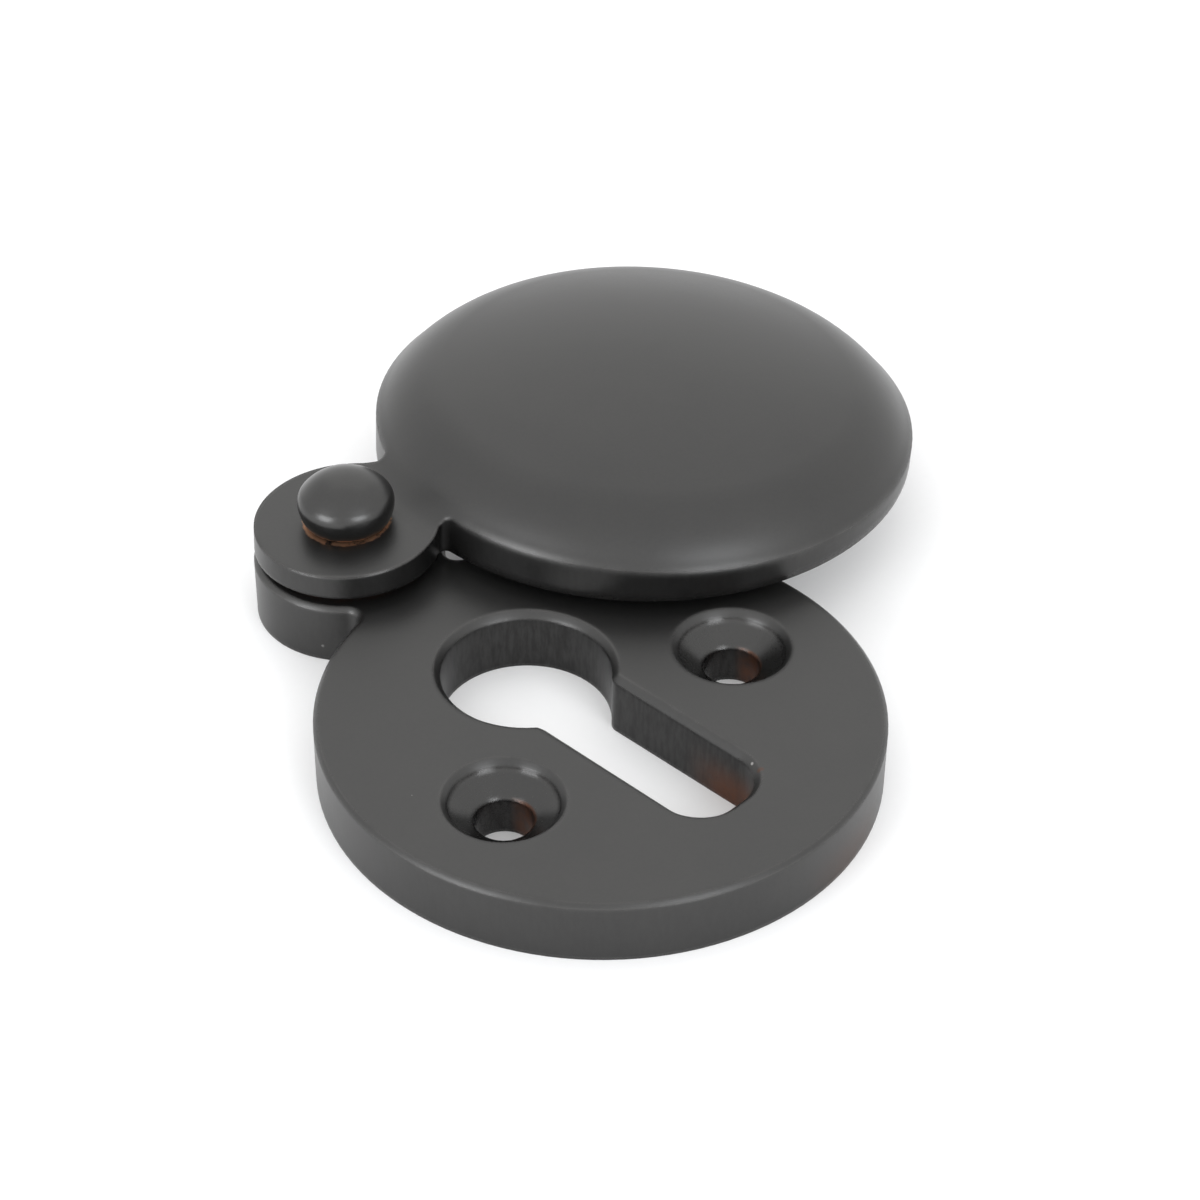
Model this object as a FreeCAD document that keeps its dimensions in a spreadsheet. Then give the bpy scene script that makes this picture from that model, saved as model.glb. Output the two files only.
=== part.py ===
import FreeCAD, Part
import math
import os

import Sketcher

# Keyhole escutcheon with a swinging cover, cast in bronze and held together by one rivet.
# Millimetres. The origin is midway between the two fixing screws, on the back face that lies on the door.
# +Z points out of the door, +Y towards the rivet that the cover hangs from, +X to the right.

SIZES = {
    # Plate: a round casting with an ear that carries the rivet
    "plateRadius": 16.2,
    "plateThick": 3.9,
    "plateRise": 1.6,  # plate centre above the line of the fixing screws
    "plateEdge": 0.25,  # softening of the upper edge
    "earRadius": 5.75,
    "earSunk": 1.0,  # the ear's round reaches this far into the plate's
    "pivotShift": 0.1,  # the rivet sits this far outside the middle of the ear
    "earFillet": 0.75,  # corner between the ear and the round plate
    # Keyhole, measured from the plate centre
    "headRadius": 4.95,
    "headRise": 5.5,
    "slotWidth": 5.75,
    "slotDrop": 10.75,
    "slotCorner": 2.4,
    "keyholeShift": 0.45,  # the keyhole sits this far left of the centre line
    "neckFillet": 0.8,  # corner between the head and the slot
    "mouthEdge": 0.4,  # softening of the upper edge of the keyhole and of the countersinks
    # Countersunk holes for the fixing screws
    "screwSpacing": 18.6,
    "screwBore": 1.67,
    "sinkRadius": 3.1,
    "sinkStep": 0.55,  # straight wall above the cone
    "sinkDepth": 1.0,  # height of the cone
    # Rivet
    "shankRadius": 1.5,
    "tailFlare": 0.7,  # the tail is peened into a cone of this height and flare
    "buttonRadius": 2.9,
    "buttonTuck": 0.35,  # the button's flat underside is this much smaller
    "buttonBelly": 1.2,  # height of the widest place above the underside
    "buttonHeight": 3.1,
    "buttonShoulder": 1.0,  # rounding between the belly and the flattened top
    # Spacer washer and play
    "washerRadius": 4.3,
    "washerThick": 0.55,
    "axialPlay": 0.05,
    "radialPlay": 0.06,
    # Cover: a lobe round the rivet and a crown that hides the keyhole
    "lobeRadius": 5.6,
    "lobeThick": 1.7,  # at the rivet
    "lobeClimb": 2.4,  # the lobe's upper side climbs towards the crown, in degrees
    "notchFillet": 0.45,  # corner between the lobe and the crown's rim
    "neckHollow": 3.0,  # hollow in which the flank runs out onto the lobe
    "coverProud": 0.6,  # the crown's outline stands this far outside the plate's
    "rimHeight": 1.6,  # upright rim, midway between the rivet's side and the tip
    "rimSlope": 58.0,  # slope of the flank where it meets the rim, in degrees
    "flankRadius": 7.5,
    "crownHeight": 6.9,
    "crownLean": 2.4,  # lean of the upper side towards the tip, where the rim is thinner, in degrees
    "hollowRim": 2.7,  # flat land round the hollow underside
    "hollowDepth": 3.0,
    "hollowCeiling": 9.0,  # radius of the hollow's flat ceiling
    "openAngle": 75.8,  # swing from closed, with the crown over the keyhole, in degrees
}

# Room by which a cut runs past what it clears
PAST = 2.0
# How near an edge lies to a place to count as there
NEAR = 0.02

doc = FreeCAD.newDocument("KeyholeEscutcheon")
sheet = doc.addObject("Spreadsheet::Sheet", "Sizes")
for row, (alias, size) in enumerate(SIZES.items(), start=1):
    sheet.set("A%d" % row, alias)
    sheet.set("B%d" % row, str(size))
    sheet.setAlias("B%d" % row, alias)
doc.recompute()

# Heights of the stack on the rivet, from the back of the plate, and the rivet's place
COVER_SEAT = "<plateThick> + <washerThick> + <axialPlay>"
CLIMB_RISE = "(<buttonRadius> - <buttonTuck>) * tan(<lobeClimb>)"
BUTTON_SEAT = " + ".join([COVER_SEAT, "<lobeThick>", CLIMB_RISE, "<axialPlay>"])
EAR_RISE = "<plateRadius> + <earRadius> - <earSunk>"
EAR_CENTRE = "<plateRise> + " + EAR_RISE
PIVOT_RISE = "(" + EAR_RISE + " + <pivotShift>)"
PIVOT = "<plateRise> + " + PIVOT_RISE
COVER_RADIUS = "(<plateRadius> + <coverProud>)"


def sized(words):
    """An expression whose sizes, written in angle brackets, are read from the sheet."""
    return words.replace("<", "Sizes.").replace(">", "")


def value(words):
    return float(sheet.evalExpression(words.replace("<", "").replace(">", "")))


def vector(x, y):
    return FreeCAD.Vector(x, y, 0)


def addBody(label):
    body = doc.addObject("PartDesign::Body", label)
    body.Label = label
    return body


def placeBody(body, x, y, z, swing="0"):
    upwards = FreeCAD.Vector(0, 0, 1)
    centre = FreeCAD.Vector(value(x), value(y), value(z))
    body.Placement = FreeCAD.Placement(centre, FreeCAD.Rotation(upwards, value(swing)))
    body.setExpression("Placement.Base.x", sized(x))
    body.setExpression("Placement.Base.y", sized(y))
    body.setExpression("Placement.Base.z", sized(z))
    if swing != "0":
        body.setExpression("Placement.Rotation.Angle", sized(swing))


def originPlane(body, role):
    return next(plane for plane in body.Origin.OriginFeatures if plane.Role == role)


def addSketch(body, label, role):
    sketch = body.newObject("Sketcher::SketchObject", label)
    sketch.AttachmentSupport = [(originPlane(body, role), "")]
    sketch.MapMode = "FlatFace"
    return sketch


def bind(sketch, kind, *where, to):
    index = sketch.addConstraint(Sketcher.Constraint(kind, *where, value(to)))
    sketch.setExpression("Constraints[%d]" % index, sized(to))


def join(sketch, kind, *where):
    """Adds a constraint that has no size, such as Coincident, Tangent or Horizontal."""
    sketch.addConstraint(Sketcher.Constraint(kind, *where))


def pinX(sketch, geometry, point, x):
    """Holds a point at x. A bare 0 puts it on the sketch's upright axis."""
    if x == "0":
        join(sketch, "PointOnObject", geometry, point, -2)
    else:
        bind(sketch, "DistanceX", -1, 1, geometry, point, to=x)


def pinY(sketch, geometry, point, y):
    """Holds a point at y. A bare 0 puts it on the sketch's level axis."""
    if y == "0":
        join(sketch, "PointOnObject", geometry, point, -1)
    else:
        bind(sketch, "DistanceY", -1, 1, geometry, point, to=y)


def pin(sketch, geometry, point, x, y):
    pinX(sketch, geometry, point, x)
    pinY(sketch, geometry, point, y)


def addCircle(sketch, x, y, radius):
    circle = Part.Circle(vector(value(x), value(y)), FreeCAD.Vector(0, 0, 1), value(radius))
    index = sketch.addGeometry(circle)
    pin(sketch, index, 3, x, y)
    bind(sketch, "Radius", index, to=radius)


def addArc(sketch, centre, radius, start, end):
    """Adds the arc that runs anticlockwise from start to end."""
    angles = [math.atan2(point.y - centre.y, point.x - centre.x) for point in (start, end)]
    circle = Part.Circle(centre, FreeCAD.Vector(0, 0, 1), radius)
    return sketch.addGeometry(Part.ArcOfCircle(circle, *angles))


def addRun(sketch, corners, closed):
    """Adds straight lines through corners, each a pair of expressions, and returns their numbers."""
    points = [vector(value(x), value(y)) for x, y in corners]
    if closed:
        points.append(points[0])
    lines = [sketch.addGeometry(Part.LineSegment(*ends)) for ends in zip(points, points[1:])]
    for line, corner in zip(lines, corners):
        pin(sketch, line, 1, *corner)
    for line, following in zip(lines, lines[1:]):
        join(sketch, "Coincident", line, 2, following, 1)
    if closed:
        join(sketch, "Coincident", lines[-1], 2, lines[0], 1)
    else:
        pin(sketch, lines[-1], 2, *corners[-1])
    return lines


def addPad(body, label, sketch, length):
    pad = body.newObject("PartDesign::Pad", label)
    pad.Profile = sketch
    pad.setExpression("Length", sized(length))
    doc.recompute()
    return pad


def addThroughCut(body, label, sketch):
    """Cuts the sketch through the whole body, to both sides of the sketch's plane."""
    pocket = body.newObject("PartDesign::Pocket", label)
    pocket.Profile = sketch
    pocket.Type = "ThroughAll"
    pocket.Midplane = True
    doc.recompute()
    return pocket


def addTurned(body, kind, label, sketch, axis):
    turned = body.newObject(kind, label)
    turned.Profile = sketch
    turned.ReferenceAxis = (sketch, [axis])
    turned.Angle = 360
    doc.recompute()
    return turned


def addEdgeWork(body, kind, label, base, test, sizeName, size):
    """Works the edges of base for which test holds."""
    names = ["Edge%d" % number for number, edge in enumerate(base.Shape.Edges, start=1) if test(edge)]
    feature = body.newObject(kind, label)
    feature.Base = (base, names)
    feature.setExpression(sizeName, sized(size))
    doc.recompute()
    return feature


def addFillet(body, label, base, test, radius):
    return addEdgeWork(body, "PartDesign::Fillet", label, base, test, "Radius", radius)


def addChamfer(body, label, base, test, size):
    return addEdgeWork(body, "PartDesign::Chamfer", label, base, test, "Size", size)


def middle(edge):
    return edge.valueAt((edge.FirstParameter + edge.LastParameter) / 2)


def reach(edge, x, y):
    """Distance in plan from x, y to the middle of the edge."""
    return math.hypot(middle(edge).x - value(x), middle(edge).y - value(y))


def liesAt(distance, size):
    return abs(distance - value(size)) < NEAR


def upright(edge):
    return edge.BoundBox.XLength < NEAR and edge.BoundBox.YLength < NEAR


def level(edge, z):
    return liesAt(edge.BoundBox.ZMin, z) and liesAt(edge.BoundBox.ZMax, z)


def makeBasePlate():
    body = addBody("base_plate")

    # Round plate and ear, with their upper edge softened
    plateSketch = addSketch(body, "plate_round", "XY_Plane")
    addCircle(plateSketch, "0", "<plateRise>", "<plateRadius>")
    addPad(body, "plate_pad", plateSketch, "<plateThick>")
    earSketch = addSketch(body, "ear_round", "XY_Plane")
    addCircle(earSketch, "0", EAR_CENTRE, "<earRadius>")
    outline = addPad(body, "ear_pad", earSketch, "<plateThick>")

    def earCorner(edge):
        onPlate = liesAt(reach(edge, "0", "<plateRise>"), "<plateRadius>")
        return upright(edge) and onPlate and liesAt(reach(edge, "0", EAR_CENTRE), "<earRadius>")

    outline = addFillet(body, "ear_corners", outline, earCorner, "<earFillet>")
    addChamfer(body, "upper_edge", outline, lambda edge: level(edge, "<plateThick>"), "<plateEdge>")

    # Keyhole: a round head and a straight slot below it
    headX = "-<keyholeShift>"
    headY = "<plateRise> + <headRise>"
    slotEnd = "<plateRise> - <slotDrop>"
    slotLeft = "-<keyholeShift> - <slotWidth> / 2"
    slotRight = "<slotWidth> / 2 - <keyholeShift>"
    headSketch = addSketch(body, "keyhole_head", "XY_Plane")
    addCircle(headSketch, headX, headY, "<headRadius>")
    addThroughCut(body, "head_cut", headSketch)
    slotSketch = addSketch(body, "keyhole_slot", "XY_Plane")
    slotCorners = [(slotLeft, slotEnd), (slotRight, slotEnd), (slotRight, headY), (slotLeft, headY)]
    addRun(slotSketch, slotCorners, closed=True)
    keyhole = addThroughCut(body, "slot_cut", slotSketch)

    def onSlotSide(edge):
        return upright(edge) and liesAt(abs(middle(edge).x - value(headX)), "<slotWidth> / 2")

    def slotCorner(edge):
        return onSlotSide(edge) and liesAt(middle(edge).y, slotEnd)

    def neck(edge):
        return onSlotSide(edge) and liesAt(reach(edge, headX, headY), "<headRadius>")

    keyhole = addFillet(body, "slot_corners", keyhole, slotCorner, "<slotCorner>")
    addFillet(body, "neck_corners", keyhole, neck, "<neckFillet>")

    # Countersunk screw hole on the right, and its mirror image on the left
    screwX = "<screwSpacing> / 2"
    sinkTop = "<plateThick> - <sinkStep>"
    sinkFoot = sinkTop + " - <sinkDepth>"
    screwSketch = addSketch(body, "screw_section", "XZ_Plane")
    addRun(
        screwSketch,
        [
            (screwX, "-%g" % PAST),
            (screwX + " + <screwBore>", "-%g" % PAST),
            (screwX + " + <screwBore>", sinkFoot),
            (screwX + " + <sinkRadius>", sinkTop),
            (screwX + " + <sinkRadius>", "<plateThick> + %g" % PAST),
            (screwX, "<plateThick> + %g" % PAST),
        ],
        closed=True,
    )
    axisEnds = vector(value(screwX), 0), vector(value(screwX), value("<plateThick>"))
    screwAxis = screwSketch.addGeometry(Part.LineSegment(*axisEnds), True)
    pin(screwSketch, screwAxis, 1, screwX, "0")
    pin(screwSketch, screwAxis, 2, screwX, "<plateThick>")
    screwHole = addTurned(body, "PartDesign::Groove", "screw_hole", screwSketch, "Axis0")
    mirrored = body.newObject("PartDesign::Mirrored", "screw_hole_left")
    mirrored.Originals = [screwHole]
    mirrored.MirrorPlane = (originPlane(body, "YZ_Plane"), [""])
    body.Tip = mirrored
    doc.recompute()

    # Soft mouths: every edge of the upper face that isn't its border
    def mouth(edge):
        inside = reach(edge, "0", "<plateRise>") < value("<plateRadius> - <plateEdge>") - NEAR
        return level(edge, "<plateThick>") and inside

    addChamfer(body, "soft_mouths", mirrored, mouth, "<mouthEdge>")

    # Rivet hole, flared at the back for the peened tail
    rivetSketch = addSketch(body, "rivet_hole", "XY_Plane")
    addCircle(rivetSketch, "0", PIVOT, "<shankRadius>")
    rivetHole = addThroughCut(body, "rivet_cut", rivetSketch)

    def tailEdge(edge):
        return level(edge, "0") and liesAt(reach(edge, "0", PIVOT), "<shankRadius>")

    addChamfer(body, "tail_flare", rivetHole, tailEdge, "<tailFlare>")
    return body


def makeWasher():
    body = addBody("spacer_washer")
    sketch = addSketch(body, "washer_rings", "XY_Plane")
    addCircle(sketch, "0", "0", "<washerRadius>")
    addCircle(sketch, "0", "0", "<shankRadius>")
    addPad(body, "washer_pad", sketch, "<washerThick>")
    placeBody(body, "0", PIVOT, "<plateThick>")
    return body


def makeRivet():
    """Half section of the rivet, turned about its axis: peened tail, shank and button head."""
    body = addBody("pivot_rivet")
    sketch = addSketch(body, "rivet_section", "XZ_Plane")
    straight = addRun(
        sketch,
        [
            ("0", "0"),
            ("<shankRadius> + <tailFlare>", "0"),
            ("<shankRadius>", "<tailFlare>"),
            ("<shankRadius>", BUTTON_SEAT),
            ("<buttonRadius> - <buttonTuck>", BUTTON_SEAT),
        ],
        closed=False,
    )

    # The side bulges from the flat underside out to the belly, where it is upright
    belly = vector(value("<buttonRadius>"), value(BUTTON_SEAT + " + <buttonBelly>"))
    foot = belly - vector(value("<buttonTuck>"), value("<buttonBelly>"))
    sideRadius = (value("<buttonTuck>") ** 2 + value("<buttonBelly>") ** 2) / (2 * value("<buttonTuck>"))
    side = addArc(sketch, belly - vector(sideRadius, 0), sideRadius, foot, belly)

    # The shoulder turns inwards above it, and the flattened top arches over to the axis
    shoulderRadius = value("<buttonShoulder>")
    shoulderCentre = belly - vector(shoulderRadius, 0)
    crest = vector(0, value(BUTTON_SEAT + " + <buttonHeight>"))
    drop = crest.y - shoulderCentre.y
    topRadius = (shoulderCentre.x**2 + drop**2 - shoulderRadius**2) / (2 * (drop - shoulderRadius))
    topCentre = crest - vector(0, topRadius)
    touch = topCentre + (shoulderCentre - topCentre).normalize() * topRadius
    shoulder = addArc(sketch, shoulderCentre, shoulderRadius, belly, touch)
    top = addArc(sketch, topCentre, topRadius, touch, crest)
    axis = sketch.addGeometry(Part.LineSegment(crest, vector(0, 0)))

    for before, after in ((straight[-1], side), (top, axis), (axis, straight[0])):
        join(sketch, "Coincident", before, 2, after, 1)
    for before, after in ((side, shoulder), (shoulder, top)):
        join(sketch, "Tangent", before, 2, after, 1)
    pin(sketch, side, 2, "<buttonRadius>", BUTTON_SEAT + " + <buttonBelly>")
    join(sketch, "Horizontal", side, 3, side, 2)
    bind(sketch, "Radius", shoulder, to="<buttonShoulder>")
    join(sketch, "PointOnObject", top, 3, -2)
    pin(sketch, top, 2, "0", BUTTON_SEAT + " + <buttonHeight>")
    addTurned(body, "PartDesign::Revolution", "rivet_turned", sketch, "V_Axis")
    placeBody(body, "0", PIVOT, "0")
    return body


def makeCover():
    """The cover is drawn closed about the rivet, with its underside at zero, and then swung open."""
    body = addBody("cover")
    lean = value("<crownLean>")

    # Upright blank with the outline of crown and lobe, square to the leaning upper side
    outlineSketch = addSketch(body, "cover_outline", "XY_Plane")
    tilt = FreeCAD.Rotation(FreeCAD.Vector(1, 0, 0), lean)
    outlineSketch.AttachmentOffset = FreeCAD.Placement(vector(0, value("-" + PIVOT_RISE)), tilt)
    outlineSketch.setExpression("AttachmentOffset.Base.y", sized("-" + PIVOT_RISE))
    outlineSketch.setExpression("AttachmentOffset.Rotation.Angle", sized("<crownLean>"))
    drawCoverOutline(outlineSketch)
    blank = addPad(body, "cover_blank", outlineSketch, "2 * <crownHeight> + %g" % PAST)
    blank.Midplane = True
    doc.recompute()

    # All above the crown and the lobe is turned away about the crown's axis
    section = addSketch(body, "crown_section", "YZ_Plane")
    tilt = FreeCAD.Rotation(FreeCAD.Vector(0, 0, 1), lean)
    section.AttachmentOffset = FreeCAD.Placement(vector(value("-" + PIVOT_RISE), 0), tilt)
    section.setExpression("AttachmentOffset.Base.x", sized("-" + PIVOT_RISE))
    section.setExpression("AttachmentOffset.Rotation.Angle", sized("<crownLean>"))
    drawCrownSection(section)
    addTurned(body, "PartDesign::Groove", "crown_turned", section, "V_Axis")

    # Flat land all round the underside
    undersideSketch = addSketch(body, "underside_round", "XY_Plane")
    addCircle(undersideSketch, "0", "-" + PIVOT_RISE, PIVOT_RISE + " + <lobeRadius> + " + COVER_RADIUS)
    underside = body.newObject("PartDesign::Pocket", "underside_cut")
    underside.Profile = undersideSketch
    underside.Type = "ThroughAll"
    doc.recompute()

    # Hollow underneath the crown, with a sloping wall up to a flat ceiling
    hollow = addSketch(body, "hollow_section", "YZ_Plane")
    hollow.AttachmentOffset = FreeCAD.Placement(vector(value("-" + PIVOT_RISE), 0), FreeCAD.Rotation())
    hollow.setExpression("AttachmentOffset.Base.x", sized("-" + PIVOT_RISE))
    hollowMouth = COVER_RADIUS + " - <hollowRim>"
    addRun(
        hollow,
        [
            ("0", "-%g" % PAST),
            (hollowMouth, "-%g" % PAST),
            (hollowMouth, "0"),
            ("<hollowCeiling>", "<hollowDepth>"),
            ("0", "<hollowDepth>"),
        ],
        closed=True,
    )
    addTurned(body, "PartDesign::Groove", "hollow_turned", hollow, "V_Axis")

    # Running hole for the rivet
    rivetSketch = addSketch(body, "rivet_hole", "XY_Plane")
    addCircle(rivetSketch, "0", "0", "<shankRadius> + <radialPlay>")
    addThroughCut(body, "rivet_cut", rivetSketch)
    placeBody(body, "0", PIVOT, COVER_SEAT, "<openAngle>")
    return body


def drawCoverOutline(sketch):
    """Crown about the sketch's origin and lobe above it, with a fillet in the notch on each side."""
    rise = value(PIVOT_RISE)
    crownCentre = vector(0, 0)
    crownRadius = value(COVER_RADIUS)
    lobeCentre = vector(0, rise)
    lobeRadius = value("<lobeRadius>")
    notchRadius = value("<notchFillet>")
    fromCrown = crownRadius + notchRadius
    fromLobe = lobeRadius + notchRadius
    along = (rise**2 + fromCrown**2 - fromLobe**2) / (2 * rise)
    aside = math.sqrt(fromCrown**2 - along**2)

    def touches(centre):
        onCrown = crownCentre + (centre - crownCentre).normalize() * crownRadius
        onLobe = lobeCentre + (centre - lobeCentre).normalize() * lobeRadius
        return onCrown, onLobe

    leftNotch = vector(-aside, along)
    rightNotch = vector(aside, along)
    leftCrown, leftLobe = touches(leftNotch)
    rightCrown, rightLobe = touches(rightNotch)
    crown = addArc(sketch, crownCentre, crownRadius, leftCrown, rightCrown)
    right = addArc(sketch, rightNotch, notchRadius, rightLobe, rightCrown)
    lobe = addArc(sketch, lobeCentre, lobeRadius, rightLobe, leftLobe)
    left = addArc(sketch, leftNotch, notchRadius, leftCrown, leftLobe)
    join(sketch, "Tangent", crown, 2, right, 2)
    join(sketch, "Tangent", right, 1, lobe, 1)
    join(sketch, "Tangent", lobe, 2, left, 2)
    join(sketch, "Tangent", left, 1, crown, 1)
    pin(sketch, crown, 3, "0", "0")
    pin(sketch, lobe, 3, "0", PIVOT_RISE)
    bind(sketch, "Radius", crown, to=COVER_RADIUS)
    bind(sketch, "Radius", lobe, to="<lobeRadius>")
    bind(sketch, "Radius", right, to="<notchFillet>")
    bind(sketch, "Radius", left, to="<notchFillet>")


def drawCrownSection(sketch):
    """Half section of the waste over a shallow cap, a tighter flank, the neck's hollow and the lobe."""
    # The flank would reach the rim's height at its slope
    flankX = "<flankRadius> * sin(<rimSlope>) - " + COVER_RADIUS
    flankY = "<rimHeight> - <flankRadius> * cos(<rimSlope>)"
    flankRadius = value("<flankRadius>")
    flankCentre = vector(value(flankX), value(flankY))

    # The cap passes through the crest, centred on the axis, and runs smoothly into the flank
    crest = vector(0, value("<crownHeight>"))
    drop = crest.y - flankCentre.y
    capRadius = (flankCentre.x**2 + drop**2 - flankRadius**2) / (2 * (drop - flankRadius))
    capCentre = crest - vector(0, capRadius)
    touch = capCentre + (flankCentre - capCentre).normalize() * capRadius

    # The lobe's top passes over the rivet's axis at the lobe's thickness and climbs towards the crown
    overX = "-" + PIVOT_RISE + " * cos(<crownLean>) - <lobeThick> * sin(<crownLean>)"
    overY = "<lobeThick> * cos(<crownLean>) - " + PIVOT_RISE + " * sin(<crownLean>)"
    slope = "<lobeClimb> + <crownLean>"
    over = vector(value(overX), value(overY))
    alongTop = vector(value("cos(%s)" % slope), value("sin(%s)" % slope))
    offTop = vector(-alongTop.y, alongTop.x)

    # The neck's hollow leaves the flank just inside the rim and lands on the lobe's top
    neckRadius = value("<neckHollow>")
    apart = flankCentre - over - offTop * neckRadius
    reachBack = math.sqrt((flankRadius + neckRadius) ** 2 - apart.dot(offTop) ** 2)
    landing = over + alongTop * (apart.dot(alongTop) - reachBack)
    neckCentre = landing + offTop * neckRadius
    foot = flankCentre + (neckCentre - flankCentre).normalize() * flankRadius

    lidY = "<crownHeight> + %g" % PAST
    sideX = "-" + PIVOT_RISE + " - <lobeRadius> - %g" % PAST
    endY = overY + " + (" + sideX + " - (" + overX + ")) * tan(" + slope + ")"
    lid = value(lidY)
    side = value(sideX)
    end = vector(side, value(endY))
    axis = sketch.addGeometry(Part.LineSegment(vector(0, lid), crest))
    cap = addArc(sketch, capCentre, capRadius, crest, touch)
    flank = addArc(sketch, flankCentre, flankRadius, touch, foot)
    neck = addArc(sketch, neckCentre, neckRadius, landing, foot)
    lobeTop = sketch.addGeometry(Part.LineSegment(landing, end))
    wall = sketch.addGeometry(Part.LineSegment(end, vector(side, lid)))
    top = sketch.addGeometry(Part.LineSegment(vector(side, lid), vector(0, lid)))
    join(sketch, "Coincident", axis, 2, cap, 1)
    join(sketch, "Tangent", cap, 2, flank, 1)
    join(sketch, "Tangent", flank, 2, neck, 2)
    join(sketch, "Tangent", neck, 1, lobeTop, 1)
    join(sketch, "Coincident", lobeTop, 2, wall, 1)
    join(sketch, "Coincident", wall, 2, top, 1)
    join(sketch, "Coincident", top, 2, axis, 1)
    join(sketch, "Vertical", wall)
    join(sketch, "Horizontal", top)
    join(sketch, "PointOnObject", cap, 3, -2)
    pin(sketch, axis, 1, "0", lidY)
    pin(sketch, axis, 2, "0", "<crownHeight>")
    pin(sketch, flank, 3, flankX, flankY)
    pin(sketch, lobeTop, 2, sideX, endY)
    overRivet = sketch.addGeometry(Part.Point(over), True)
    pin(sketch, overRivet, 1, overX, overY)
    join(sketch, "PointOnObject", overRivet, 1, lobeTop)
    bind(sketch, "Radius", flank, to="<flankRadius>")
    bind(sketch, "Radius", neck, to="<neckHollow>")


bodies = [makeBasePlate(), makeWasher(), makeRivet(), makeCover()]
doc.recompute()

for item in doc.Objects:
    if "Invalid" in item.State or "Error" in item.State:
        raise RuntimeError("%s failed: %s" % (item.Label, item.State))
for body in bodies:
    if body.Shape.isNull() or not body.Shape.isValid():
        raise RuntimeError("%s has no valid shape" % body.Label)

os.makedirs("parts", exist_ok=True)
for body in bodies:
    body.Shape.exportStep("parts/%s.step" % body.Label)
    print(body.Label, "solids", len(body.Shape.Solids), "volume", round(body.Shape.Volume, 3))
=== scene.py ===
import math

import bmesh
import bpy
from mathutils import Matrix, Vector

# Keyhole escutcheon with its cover swung aside: blackened bronze on a white table.
mm = 0.001
pivotY = 22.65  # axis of the rivet, in millimetres from the frame's origin
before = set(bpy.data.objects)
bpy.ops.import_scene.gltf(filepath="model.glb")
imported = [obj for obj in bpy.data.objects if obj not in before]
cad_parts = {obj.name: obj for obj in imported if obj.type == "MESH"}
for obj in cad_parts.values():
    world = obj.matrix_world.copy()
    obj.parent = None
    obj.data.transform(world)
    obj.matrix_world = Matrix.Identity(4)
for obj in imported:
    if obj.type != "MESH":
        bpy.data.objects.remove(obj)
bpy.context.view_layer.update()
print("frame loaded:", ", ".join(sorted(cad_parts)))


# Shader maths on sockets: an expression on wires adds its Math nodes
class Wire:
    def __init__(self, finish, socket):
        self.finish = finish
        self.socket = socket

    def __add__(self, other):
        return self.finish.sum("ADD", self, other)

    def __radd__(self, other):
        return self.finish.sum("ADD", other, self)

    def __sub__(self, other):
        return self.finish.sum("SUBTRACT", self, other)

    def __rsub__(self, other):
        return self.finish.sum("SUBTRACT", other, self)

    def __mul__(self, other):
        return self.finish.sum("MULTIPLY", self, other)

    def __rmul__(self, other):
        return self.finish.sum("MULTIPLY", other, self)

    def __pow__(self, other):
        return self.finish.sum("POWER", self, other)


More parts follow.
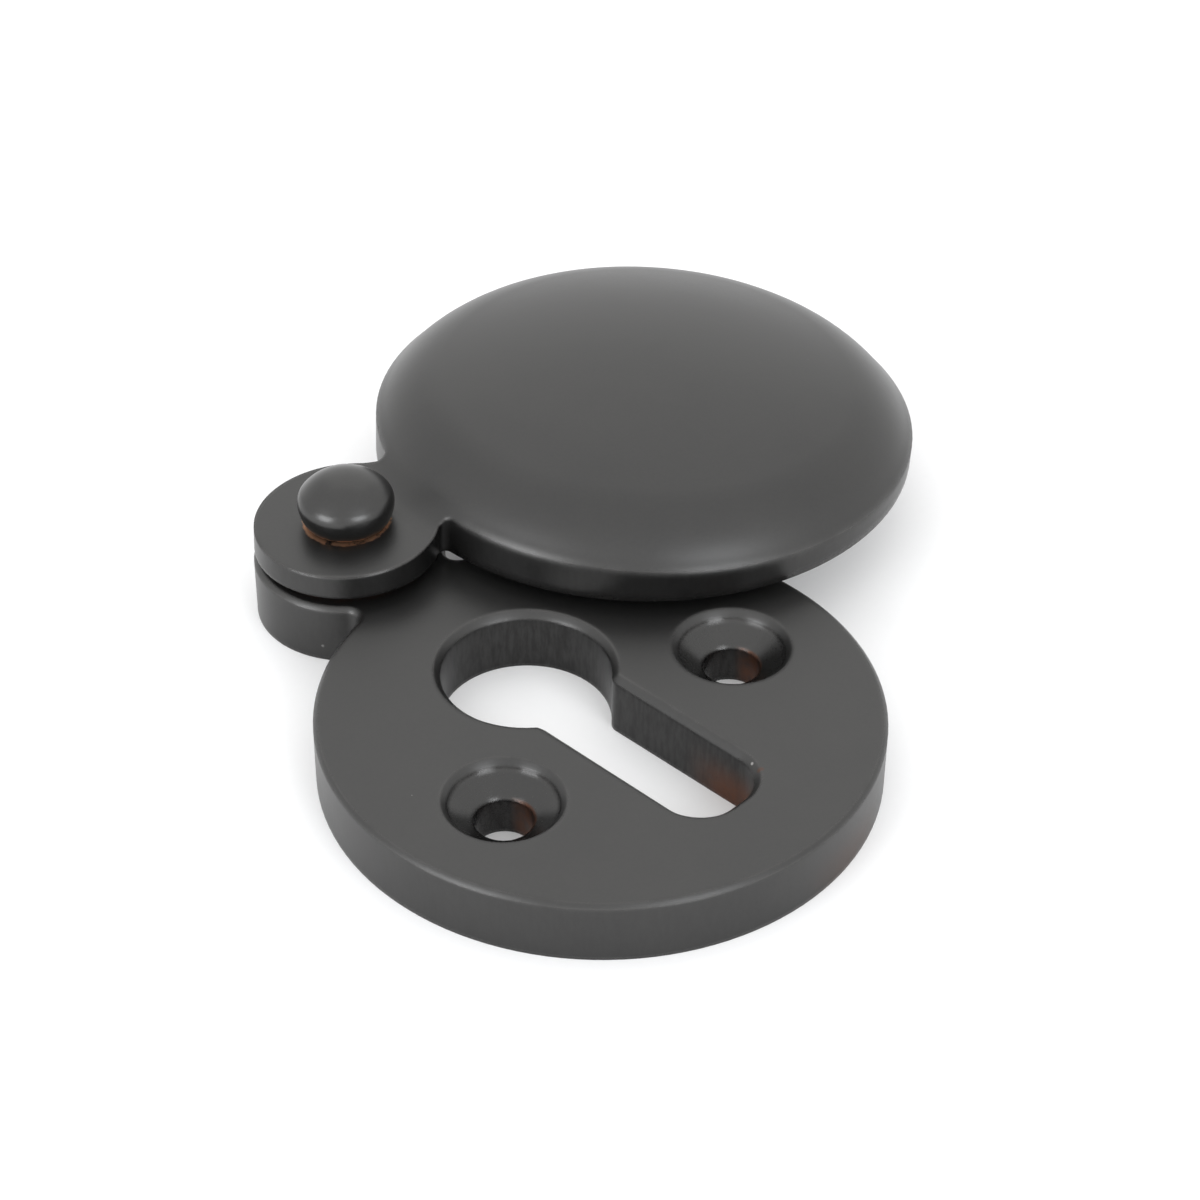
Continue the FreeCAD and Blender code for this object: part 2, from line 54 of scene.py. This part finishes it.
class Finish:
    def __init__(self, name):
        self.material = bpy.data.materials.new(name)
        self.material.use_nodes = True
        self.tree = self.material.node_tree
        self.tree.nodes.clear()
        # everything is measured in millimetres from the frame's origin
        metres = self.node("ShaderNodeTexCoord", output="Object")
        values = {0: metres, "Scale": 1.0 / mm}
        self.place = self.node("ShaderNodeVectorMath", {"operation": "SCALE"}, values)
        self.x = self.node("ShaderNodeSeparateXYZ", values={0: self.place}, output="X")
        self.y = self.node("ShaderNodeSeparateXYZ", values={0: self.place}, output="Y")
        self.z = self.node("ShaderNodeSeparateXYZ", values={0: self.place}, output="Z")
        self.normal = self.node("ShaderNodeNewGeometry", output="Normal")

    def node(self, kind, settings=None, values=None, output=0):
        made = self.tree.nodes.new(kind)
        for name, value in (settings or {}).items():
            setattr(made, name, value)
        for name, value in (values or {}).items():
            if isinstance(value, Wire):
                self.tree.links.new(value.socket, made.inputs[name])
            else:
                made.inputs[name].default_value = value
        return None if output is None else Wire(self, made.outputs[output])

    def sum(self, operation, a, b):
        return self.node("ShaderNodeMath", {"operation": operation}, {0: a, 1: b})

    def step(self, value, start, end):
        # 0 before start, 1 after end, smooth between them
        values = {"Value": value, "From Min": start, "From Max": end}
        return self.node("ShaderNodeMapRange", {"interpolation_type": "SMOOTHSTEP"}, values, "Result")

    def fade(self, value, start, end):
        # 1 before start, 0 after end
        return 1.0 - self.step(value, start, end)

    def atLeast(self, least, mask):
        # the mask raised, so that it runs from that least value to 1
        return least + (1.0 - least) * mask

    def moved(self, shift, stretch=(1.0, 1.0, 1.0)):
        return self.node("ShaderNodeMapping", {}, {"Vector": self.place, "Location": shift, "Scale": stretch})

    def noise(self, size, detail=3.0, grain=0.55, shift=(0.0, 0.0, 0.0), stretch=(1.0, 1.0, 1.0)):
        place = self.moved(shift, stretch)
        values = {"Vector": place, "Scale": 1.0 / size, "Detail": detail, "Roughness": grain}
        return self.node("ShaderNodeTexNoise", {}, values, "Fac")

    def patches(self, start, end, **pattern):
        # noise cut into patches: 0 where it is under start, 1 where it is over end
        return self.step(self.noise(**pattern), start, end)

    def specks(self, size, radius, shift, core=0.5):
        # scattered dots of that radius, about one to each cell of that size
        values = {"Vector": self.moved(shift), "Scale": 1.0 / size}
        far = self.node("ShaderNodeTexVoronoi", {}, values, "Distance")
        return self.fade(far, core * radius / size, radius / size)

    def mark(self, place, radius, core=0.4):
        # one round mark, 1 in its core and 0 outside its radius
        values = {0: self.place, 1: place}
        far = self.node("ShaderNodeVectorMath", {"operation": "DISTANCE"}, values, "Value")
        return self.fade(far, core * radius, radius)

    def fromAxis(self, x, y):
        # distance in plan from an upright axis
        return ((self.x - x) * (self.x - x) + (self.y - y) * (self.y - y)) ** 0.5

    def upright(self, wall=0.2, slope=0.5):
        # 1 on upright walls, 0 where the surface slopes or lies flat, either way up
        facing = self.node("ShaderNodeSeparateXYZ", values={0: self.normal}, output="Z")
        level = self.node("ShaderNodeMath", {"operation": "ABSOLUTE"}, {0: facing})
        return self.fade(level, wall, slope)

    def softened(self, radius, samples=6):
        # normal with every edge rounded off by that radius
        return self.node("ShaderNodeBevel", {"samples": samples}, {"Radius": radius * mm}, "Normal")

    def rubbedAndHighlight(self, softNormal, edge=0.90, flat=0.995):
        # 1 along the edges, where the softened normal leaves the surface's own
        values = {0: self.normal, 1: softNormal}
        alike = self.node("ShaderNodeVectorMath", {"operation": "DOT_PRODUCT"}, values, "Value")
        return self.fade(alike, edge, flat)

    def blend(self, mask, a, b):
        # from colour a to colour b
        return self.node("ShaderNodeMix", {"data_type": "RGBA"}, {0: mask, 6: a, 7: b}, 2)

    def turn(self, mask, a, b):
        # from normal a to normal b
        return self.node("ShaderNodeMix", {"data_type": "VECTOR"}, {0: mask, 4: a, 5: b}, 1)

    def bump(self, height, depth, normal):
        values = {"Strength": 1.0, "Distance": depth * mm, "Height": height, "Normal": normal}
        return self.node("ShaderNodeBump", {}, values, "Normal")

    def surface(self, values):
        made = self.node("ShaderNodeBsdfPrincipled", {}, values, "BSDF")
        self.node("ShaderNodeOutputMaterial", {}, {"Surface": made}, None)
        return self.material


def colour(red, green, blue):
    return (red, green, blue, 1.0)


# Blackened bronze, shared by all pieces: a thin dark skin that gleams like the metal under it.
# Sizes and depths are in millimetres.
blackening = {
    "dark": colour(0.061, 0.061, 0.061),
    "light": colour(0.083, 0.082, 0.080),
    "crustAndShade": colour(0.030, 0.029, 0.029),  # upright walls that were never linished, darker: casting crust, and painted shade
    "brown": colour(0.150, 0.068, 0.042),  # copper-brown metal where the skin is worn thin
    "bright": colour(0.50, 0.29, 0.18),  # bare bronze where the rivet was closed
    # lighter edges: rubbed wear and a painted highlight
    "rubbedAndHighlight": colour(0.110, 0.108, 0.106),
    # pale tone of dust specks and chips, also standing for painted glints
    "dustAndGlint": colour(0.42, 0.41, 0.40),
    "metallic": 0.94,
    # patches of lighter and darker skin, and the grain in them
    "clouds": {"size": 7.0, "detail": 4.0, "grain": 0.6},
    "grain": {"size": 0.20, "detail": 3.0, "grain": 0.6},
    "cloudShare": 0.6,
    "grainShare": 0.4,
    # the crust and painted shade lie evenly on the walls, with more of them in upright streaks
    "streaks": {"size": 0.30, "shift": (2.0, 0.0, 4.0), "stretch": (1.0, 1.0, 0.25)},
    "streakRange": (0.70, 0.30),
    "evenCrustAndShade": 0.42,
    "streakedCrustAndShade": 0.38,
    # edges are rubbed and lightened, a painted highlight, a little everywhere and more in patches
    "rubbedHighlightPatches": {"start": 0.30, "end": 0.60, "size": 1.6, "grain": 0.6, "shift": (6.0, 2.0, 0.0)},
    "leastRubbedHighlight": 0.4,
    "rubbedHighlightTone": 0.8,
    "dustSpecks": {"size": 3.4, "radius": 0.07, "shift": (1.0, 2.0, 0.0)},
    "dustPlaces": {
        "start": 0.50, "end": 0.58, "size": 9.0, "detail": 1.0, "grain": 0.5, "shift": (3.0, 7.0, 1.0),
    },
    "dustTone": 0.7,
    "chipAndGlintTone": 0.8,
    # what each of them adds to the roughness
    "cloudRoughness": 0.08,
    "grainRoughness": 0.06,
    "bareRoughness": 0.16,
    "polishRoughness": -0.10,
    "rubbedRoughness": -0.12,
    # slow waves left by the casting, then the fine marks of the belt
    "waves": {"size": 3.2, "detail": 2.0, "grain": 0.5, "shift": (5.0, 1.0, 2.0)},
    "waveDepth": 0.006,
    "belt": {"size": 0.10, "detail": 2.0, "grain": 0.5, "shift": (0.0, 4.0, 1.0)},
    "beltHeight": 0.7,
    "crustHeight": 2.2,
}


def castBronze(finish, look, edge, bare=0.0, polish=0.0, crustAndShade=0.0, chipsAndGlints=0.0):
    skin = blackening
    clouds = finish.noise(**skin["clouds"])
    grain = finish.noise(**skin["grain"])
    streaks = finish.noise(**skin["streaks"])
    belt = finish.noise(stretch=look["linish"], **skin["belt"])
    patchy = finish.atLeast(skin["leastRubbedHighlight"], finish.patches(**skin["rubbedHighlightPatches"]))
    rubbedAndHighlight = finish.rubbedAndHighlight(edge) * patchy
    dustAndGlint = finish.specks(**skin["dustSpecks"]) * finish.patches(**skin["dustPlaces"])

    mottled = skin["cloudShare"] * clouds + skin["grainShare"] * grain
    tone = finish.blend(mottled, skin["dark"], skin["light"])
    # upright walls darkened towards the crust colour: painted shade, with the crust in streaks
    streaked = skin["streakedCrustAndShade"] * crustAndShade * finish.step(streaks, *skin["streakRange"])
    tone = finish.blend(crustAndShade * (skin["evenCrustAndShade"] + streaked), tone, skin["crustAndShade"])
    # edges lightened: rubbed wear and painted highlight
    tone = finish.blend(skin["rubbedHighlightTone"] * rubbedAndHighlight, tone, skin["rubbedAndHighlight"])
    tone = finish.blend(bare, tone, look["bare"])
    # pale dust specks, and chips that are partly painted glints
    tone = finish.blend(skin["dustTone"] * dustAndGlint + skin["chipAndGlintTone"] * chipsAndGlints, tone, skin["dustAndGlint"])

    rough = look["roughness"] + skin["cloudRoughness"] * (clouds - 0.5)
    rough = rough + skin["grainRoughness"] * (grain - 0.5) + skin["bareRoughness"] * bare
    rough = rough + skin["polishRoughness"] * polish + skin["rubbedRoughness"] * rubbedAndHighlight

    waved = finish.bump(finish.noise(**skin["waves"]), skin["waveDepth"], edge)
    height = grain + skin["beltHeight"] * belt + skin["crustHeight"] * crustAndShade * crustAndShade * streaks
    return finish.surface({
        "Base Color": tone,
        "Metallic": skin["metallic"],
        "Roughness": rough,
        "Normal": finish.bump(height, look["grain"], waved),
    })


# Plate: bare metal shows in the bores and at the low end of the slot, on the side away from the camera
plate = {
    "bare": blackening["brown"],
    "roughness": 0.37,
    "grain": 0.0016,  # depth of the fine grain
    "linish": (0.08, 1.0, 1.0),  # stretch of the fine streaks left by the belt
    "edge": 0.42,  # softness of the edges
    "centreY": 1.6,
    "radius": 16.2,
    "rim": (3.0, 2.0),  # width of the plain rim round the keyhole and the screw holes
    "uneven": {"size": 0.9, "detail": 4.0, "grain": 0.65, "shift": (1.0, 2.0, 3.0)},
    "wornRange": (0.34, 0.62),
    "screwX": 9.3,
    "boreRadius": 1.67,
    "boreFade": (0.02, 0.20),
    "boreHalf": (0.5, 1.9),  # the half of the bore that is bare, counted across the view
    "boreSlant": 0.8,
    "boreLeast": 0.35,
    "sinkRadius": 3.1,
    "sinkFade": 0.2,
    "slotEnd": (2.4, -9.1),
    "slotFade": (2.6, 6.6),
    "slotLow": (0.6, 3.1),
    "slotUneven": 1.2,
    "slotLeast": 0.65,
    "copperSpot": (2.35, -8.4, 3.7),  # by a small burr at the slot's end
    "copperRadius": 0.30,
    "copperBare": 0.7,
    "gapFade": (4.6, 5.4),  # from the rivet outwards
    "gapBare": 0.5,
    "sideCrustAndShade": 0.40,  # how much of the crust and painted shade the outer wall gets
    "chipsAndGlints": [  # pale chips and specks of dust, partly painted glints: place and radius
        ((2.5, -7.6, 3.7), 0.12),
        ((-5.35, -13.85, 3.8), 0.24),
        ((-4.95, 19.66, 1.0), 0.13),
        ((-9.6, -11.6, 3.75), 0.12),
    ],
}


def boreMasks(finish, side, worn):
    # bare metal in one screw hole, and the polish of its countersink
    away = finish.fromAxis(side * plate["screwX"], 0.0)
    start, end = plate["boreFade"]
    inBore = finish.fade(away, plate["boreRadius"] + start, plate["boreRadius"] + end)
    across = finish.x - side * plate["screwX"] - plate["boreSlant"] * finish.y
    rightHand = finish.step(across, *plate["boreHalf"])
    bare = inBore * rightHand * finish.atLeast(plate["boreLeast"], worn)
    return bare, finish.fade(away, plate["sinkRadius"], plate["sinkRadius"] + plate["sinkFade"])


def plateFinish():
    finish = Finish("blackened_plate")
    uneven = finish.noise(**plate["uneven"])
    worn = finish.step(uneven, *plate["wornRange"])
    leftBare, leftPolish = boreMasks(finish, -1, worn)
    rightBare, rightPolish = boreMasks(finish, 1, worn)
    # low down on the slot's far wall, and all of its end
    toEnd = finish.fade(finish.fromAxis(*plate["slotEnd"]), *plate["slotFade"])
    low = finish.fade(finish.z + plate["slotUneven"] * (uneven - 0.5), *plate["slotLow"])
    bare = leftBare + rightBare + toEnd * low * finish.atLeast(plate["slotLeast"], worn)
    bare = bare + plate["copperBare"] * finish.mark(plate["copperSpot"], plate["copperRadius"])
    # round the washer the bare metal of the gap shines through
    gap = finish.fade(finish.fromAxis(0.0, pivotY), *plate["gapFade"])
    bare = bare + plate["gapBare"] * gap * worn
    # the walls of the keyhole and the bores get all of the crust and painted shade
    start, end = plate["rim"]
    fromCentre = finish.fromAxis(0.0, plate["centreY"])
    inside = finish.fade(fromCentre, plate["radius"] - start, plate["radius"] - end)
    crustAndShade = finish.upright() * finish.atLeast(plate["sideCrustAndShade"], inside)
    chipsAndGlints = 0.0
    for place, radius in plate["chipsAndGlints"]:
        chipsAndGlints = finish.mark(place, radius) * worn + chipsAndGlints
    edge = finish.softened(plate["edge"])
    return castBronze(finish, plate, edge, bare, leftPolish + rightPolish, crustAndShade, chipsAndGlints)


# Cover: linished smooth over the crown, with a thin bare ring where the rivet was closed
cover = {
    "bare": blackening["bright"],
    "roughness": 0.36,
    "grain": 0.0018,
    "linish": (1.0, 0.08, 1.0),
    "lobeEdge": 0.36,
    "crownEdge": 0.80,  # the crown runs over into its rim more softly than the lobe
    "lobeEnd": 6.5,  # from the rivet's axis
    "lobeFade": 0.6,
    "ring": (2.45, 2.74),  # from the rivet's foot outwards
    "ringFade": (0.3, 0.15),
    "ringWander": 0.35,
    "ringUneven": {"size": 0.5, "detail": 3.0, "grain": 0.6, "shift": (1.0, 1.0, 1.0)},
    "worn": {"start": 0.33, "end": 0.48, "size": 0.8, "detail": 4.0, "grain": 0.65, "shift": (4.0, 2.0, 0.0)},
    "nearSide": (-2.6, 0.6),  # the ring is bare in front of the rivet, and fades out behind it
    "nearSlant": 0.8,
    # the cover's upright walls darkened: crust and painted shade
    "rimCrustAndShade": 0.55,
}


def coverFinish():
    finish = Finish("blackened_cover")
    away = finish.fromAxis(0.0, pivotY)
    start, end = cover["ring"]
    inner, outer = cover["ringFade"]
    spread = away + cover["ringWander"] * (finish.noise(**cover["ringUneven"]) - 0.5)
    ring = finish.fade(spread, end - outer, end) * finish.step(away, start - inner, start)
    towards = 0.0 - finish.x - cover["nearSlant"] * (finish.y - pivotY)
    bare = ring * finish.patches(**cover["worn"]) * finish.step(towards, *cover["nearSide"])
    onCrown = finish.step(away, cover["lobeEnd"] - cover["lobeFade"], cover["lobeEnd"] + cover["lobeFade"])
    edge = finish.turn(onCrown, finish.softened(cover["lobeEdge"]), finish.softened(cover["crownEdge"]))
    return castBronze(finish, cover, edge, bare, crustAndShade=cover["rimCrustAndShade"] * finish.upright())


# Rivet: tumbled smooth, with bare metal where its foot meets the cover
rivet = {
    "bare": blackening["bright"],
    "roughness": 0.30,
    "grain": 0.0014,
    "linish": (1.0, 1.0, 1.0),
    "edge": 0.20,
    "seat": 6.36,  # height of the lobe's top under the head
    "footFade": (0.02, 0.18),
    "worn": {"start": 0.40, "end": 0.58, "size": 0.7, "detail": 4.0, "grain": 0.65},
}


def rivetFinish():
    finish = Finish("blackened_rivet")
    start, end = rivet["footFade"]
    foot = finish.fade(finish.z, rivet["seat"] + start, rivet["seat"] + end)
    bare = foot * finish.patches(**rivet["worn"])
    return castBronze(finish, rivet, finish.softened(rivet["edge"]), bare)


# Washer: plain bronze gone brown
washer = {
    "bare": blackening["brown"],
    "roughness": 0.45,
    "grain": 0.003,
    "linish": (1.0, 1.0, 1.0),
    "edge": 0.10,
    "uneven": {"size": 0.8},
    "leastBare": 0.6,
}


def washerFinish():
    finish = Finish("brown_washer")
    bare = finish.atLeast(washer["leastBare"], finish.noise(**washer["uneven"]))
    return castBronze(finish, washer, finish.softened(washer["edge"]), bare)


def dress(node, material):
    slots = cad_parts[node].material_slots
    for slot in slots:
        slot.material = material
    if not slots:
        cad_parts[node].data.materials.append(material)


dress("base_plate", plateFinish())
dress("cover", coverFinish())
dress("pivot_rivet", rivetFinish())
dress("spacer_washer", washerFinish())
print("finishes made")


# Camera at the photograph's viewing angle, in millimetres and degrees
view = {
    "place": (-94.12, -87.45, 112.5),
    "aim": (8.808, 10.097, 2.0),
    "roll": 0.599,
    "lens": 89.88,
    "sensor": 36.0,
    "clip": (5.0, 10000.0),
}


# White table in an even white room, with a soft box on each side of the camera and a wide one behind,
# in millimetres and watts
room = {
    "tableSize": 3000.0,
    "tableDrop": 0.02,  # below the plate's back
    "tableTone": colour(0.88, 0.88, 0.88),
    "tableFibre": colour(0.90, 0.90, 0.90),
    "tableWeave": {"size": 0.5, "detail": 3.0, "grain": 0.6},
    "tableRoughness": 0.9,
    "tableGlow": 0.10,  # a light table, faintly lit from below
    "roomTone": colour(1.0, 1.0, 1.0),
    "roomStrength": 1.12,
    "lightDistance": 500.0,
}

# azimuth 0 is in front of the plate, at -Y, and counts towards +X; height is above the table, in degrees
coolLight = (0.93, 0.96, 1.0)
paleLight = (0.95, 0.97, 1.0)
warmLight = (1.0, 1.0, 0.98)
softBoxes = {
    "softBoxRight": {"azimuth": -12.0, "height": 28.0, "size": 230.0, "watts": 0.70, "tone": coolLight},
    "softBoxLeft": {"azimuth": -94.0, "height": 19.0, "size": 250.0, "watts": 0.95, "tone": paleLight},
    "softBoxBack": {"azimuth": 134.0, "height": 46.0, "size": 520.0, "watts": 0.23, "tone": warmLight},
}


def makeTable():
    form = bmesh.new()
    bmesh.ops.create_grid(form, x_segments=1, y_segments=1, size=room["tableSize"] * mm / 2)
    bmesh.ops.translate(form, vec=(0.0, 0.0, -room["tableDrop"] * mm), verts=form.verts)
    mesh = bpy.data.meshes.new("table")
    form.to_mesh(mesh)
    form.free()
    table = bpy.data.objects.new("table", mesh)
    bpy.context.scene.collection.objects.link(table)
    finish = Finish("white_table")
    tone = finish.blend(finish.noise(**room["tableWeave"]), room["tableTone"], room["tableFibre"])
    mesh.materials.append(finish.surface({
        "Base Color": tone,
        "Roughness": room["tableRoughness"],
        "Specular IOR Level": 0.0,
        "Emission Color": room["roomTone"],
        "Emission Strength": room["tableGlow"],
    }))


def makeRoom():
    world = bpy.data.worlds.new("white_room")
    bpy.context.scene.world = world
    world.use_nodes = True
    sky = world.node_tree.nodes["Background"]
    sky.inputs["Color"].default_value = room["roomTone"]
    sky.inputs["Strength"].default_value = room["roomStrength"]
    bpy.context.scene.view_settings.view_transform = "Standard"


def makeSoftBox(name, box):
    data = bpy.data.lights.new(name, "AREA")
    data.shape = "SQUARE"
    data.size = box["size"] * mm
    data.energy = box["watts"]
    data.color = box["tone"]
    light = bpy.data.objects.new(name, data)
    turn, rise = math.radians(box["azimuth"]), math.radians(box["height"])
    towards = Vector((math.sin(turn) * math.cos(rise), -math.cos(turn) * math.cos(rise), math.sin(rise)))
    light.location = (Vector(view["aim"]) + towards * room["lightDistance"]) * mm
    light.rotation_mode = "QUATERNION"
    light.rotation_quaternion = towards.to_track_quat("Z", "Y")
    bpy.context.scene.collection.objects.link(light)


makeTable()
makeRoom()
for name, box in softBoxes.items():
    makeSoftBox(name, box)
print("table, room and lights made")


def makeCamera():
    data = bpy.data.cameras.new("camera")
    data.sensor_width = view["sensor"]
    data.lens = view["lens"]
    near, far = view["clip"]
    data.clip_start = near * mm
    data.clip_end = far * mm
    camera = bpy.data.objects.new("camera", data)
    bpy.context.scene.collection.objects.link(camera)
    place = Vector(view["place"]) * mm
    back = (place - Vector(view["aim"]) * mm).normalized()
    right = Vector((0.0, 0.0, 1.0)).cross(back).normalized()
    turn = Matrix.Rotation(math.radians(view["roll"]), 3, back)
    right = turn @ right
    up = back.cross(right)
    camera.matrix_world = Matrix((
        (right.x, up.x, back.x, place.x),
        (right.y, up.y, back.y, place.y),
        (right.z, up.z, back.z, place.z),
        (0.0, 0.0, 0.0, 1.0),
    ))
    bpy.context.scene.camera = camera


makeCamera()
print("camera set")
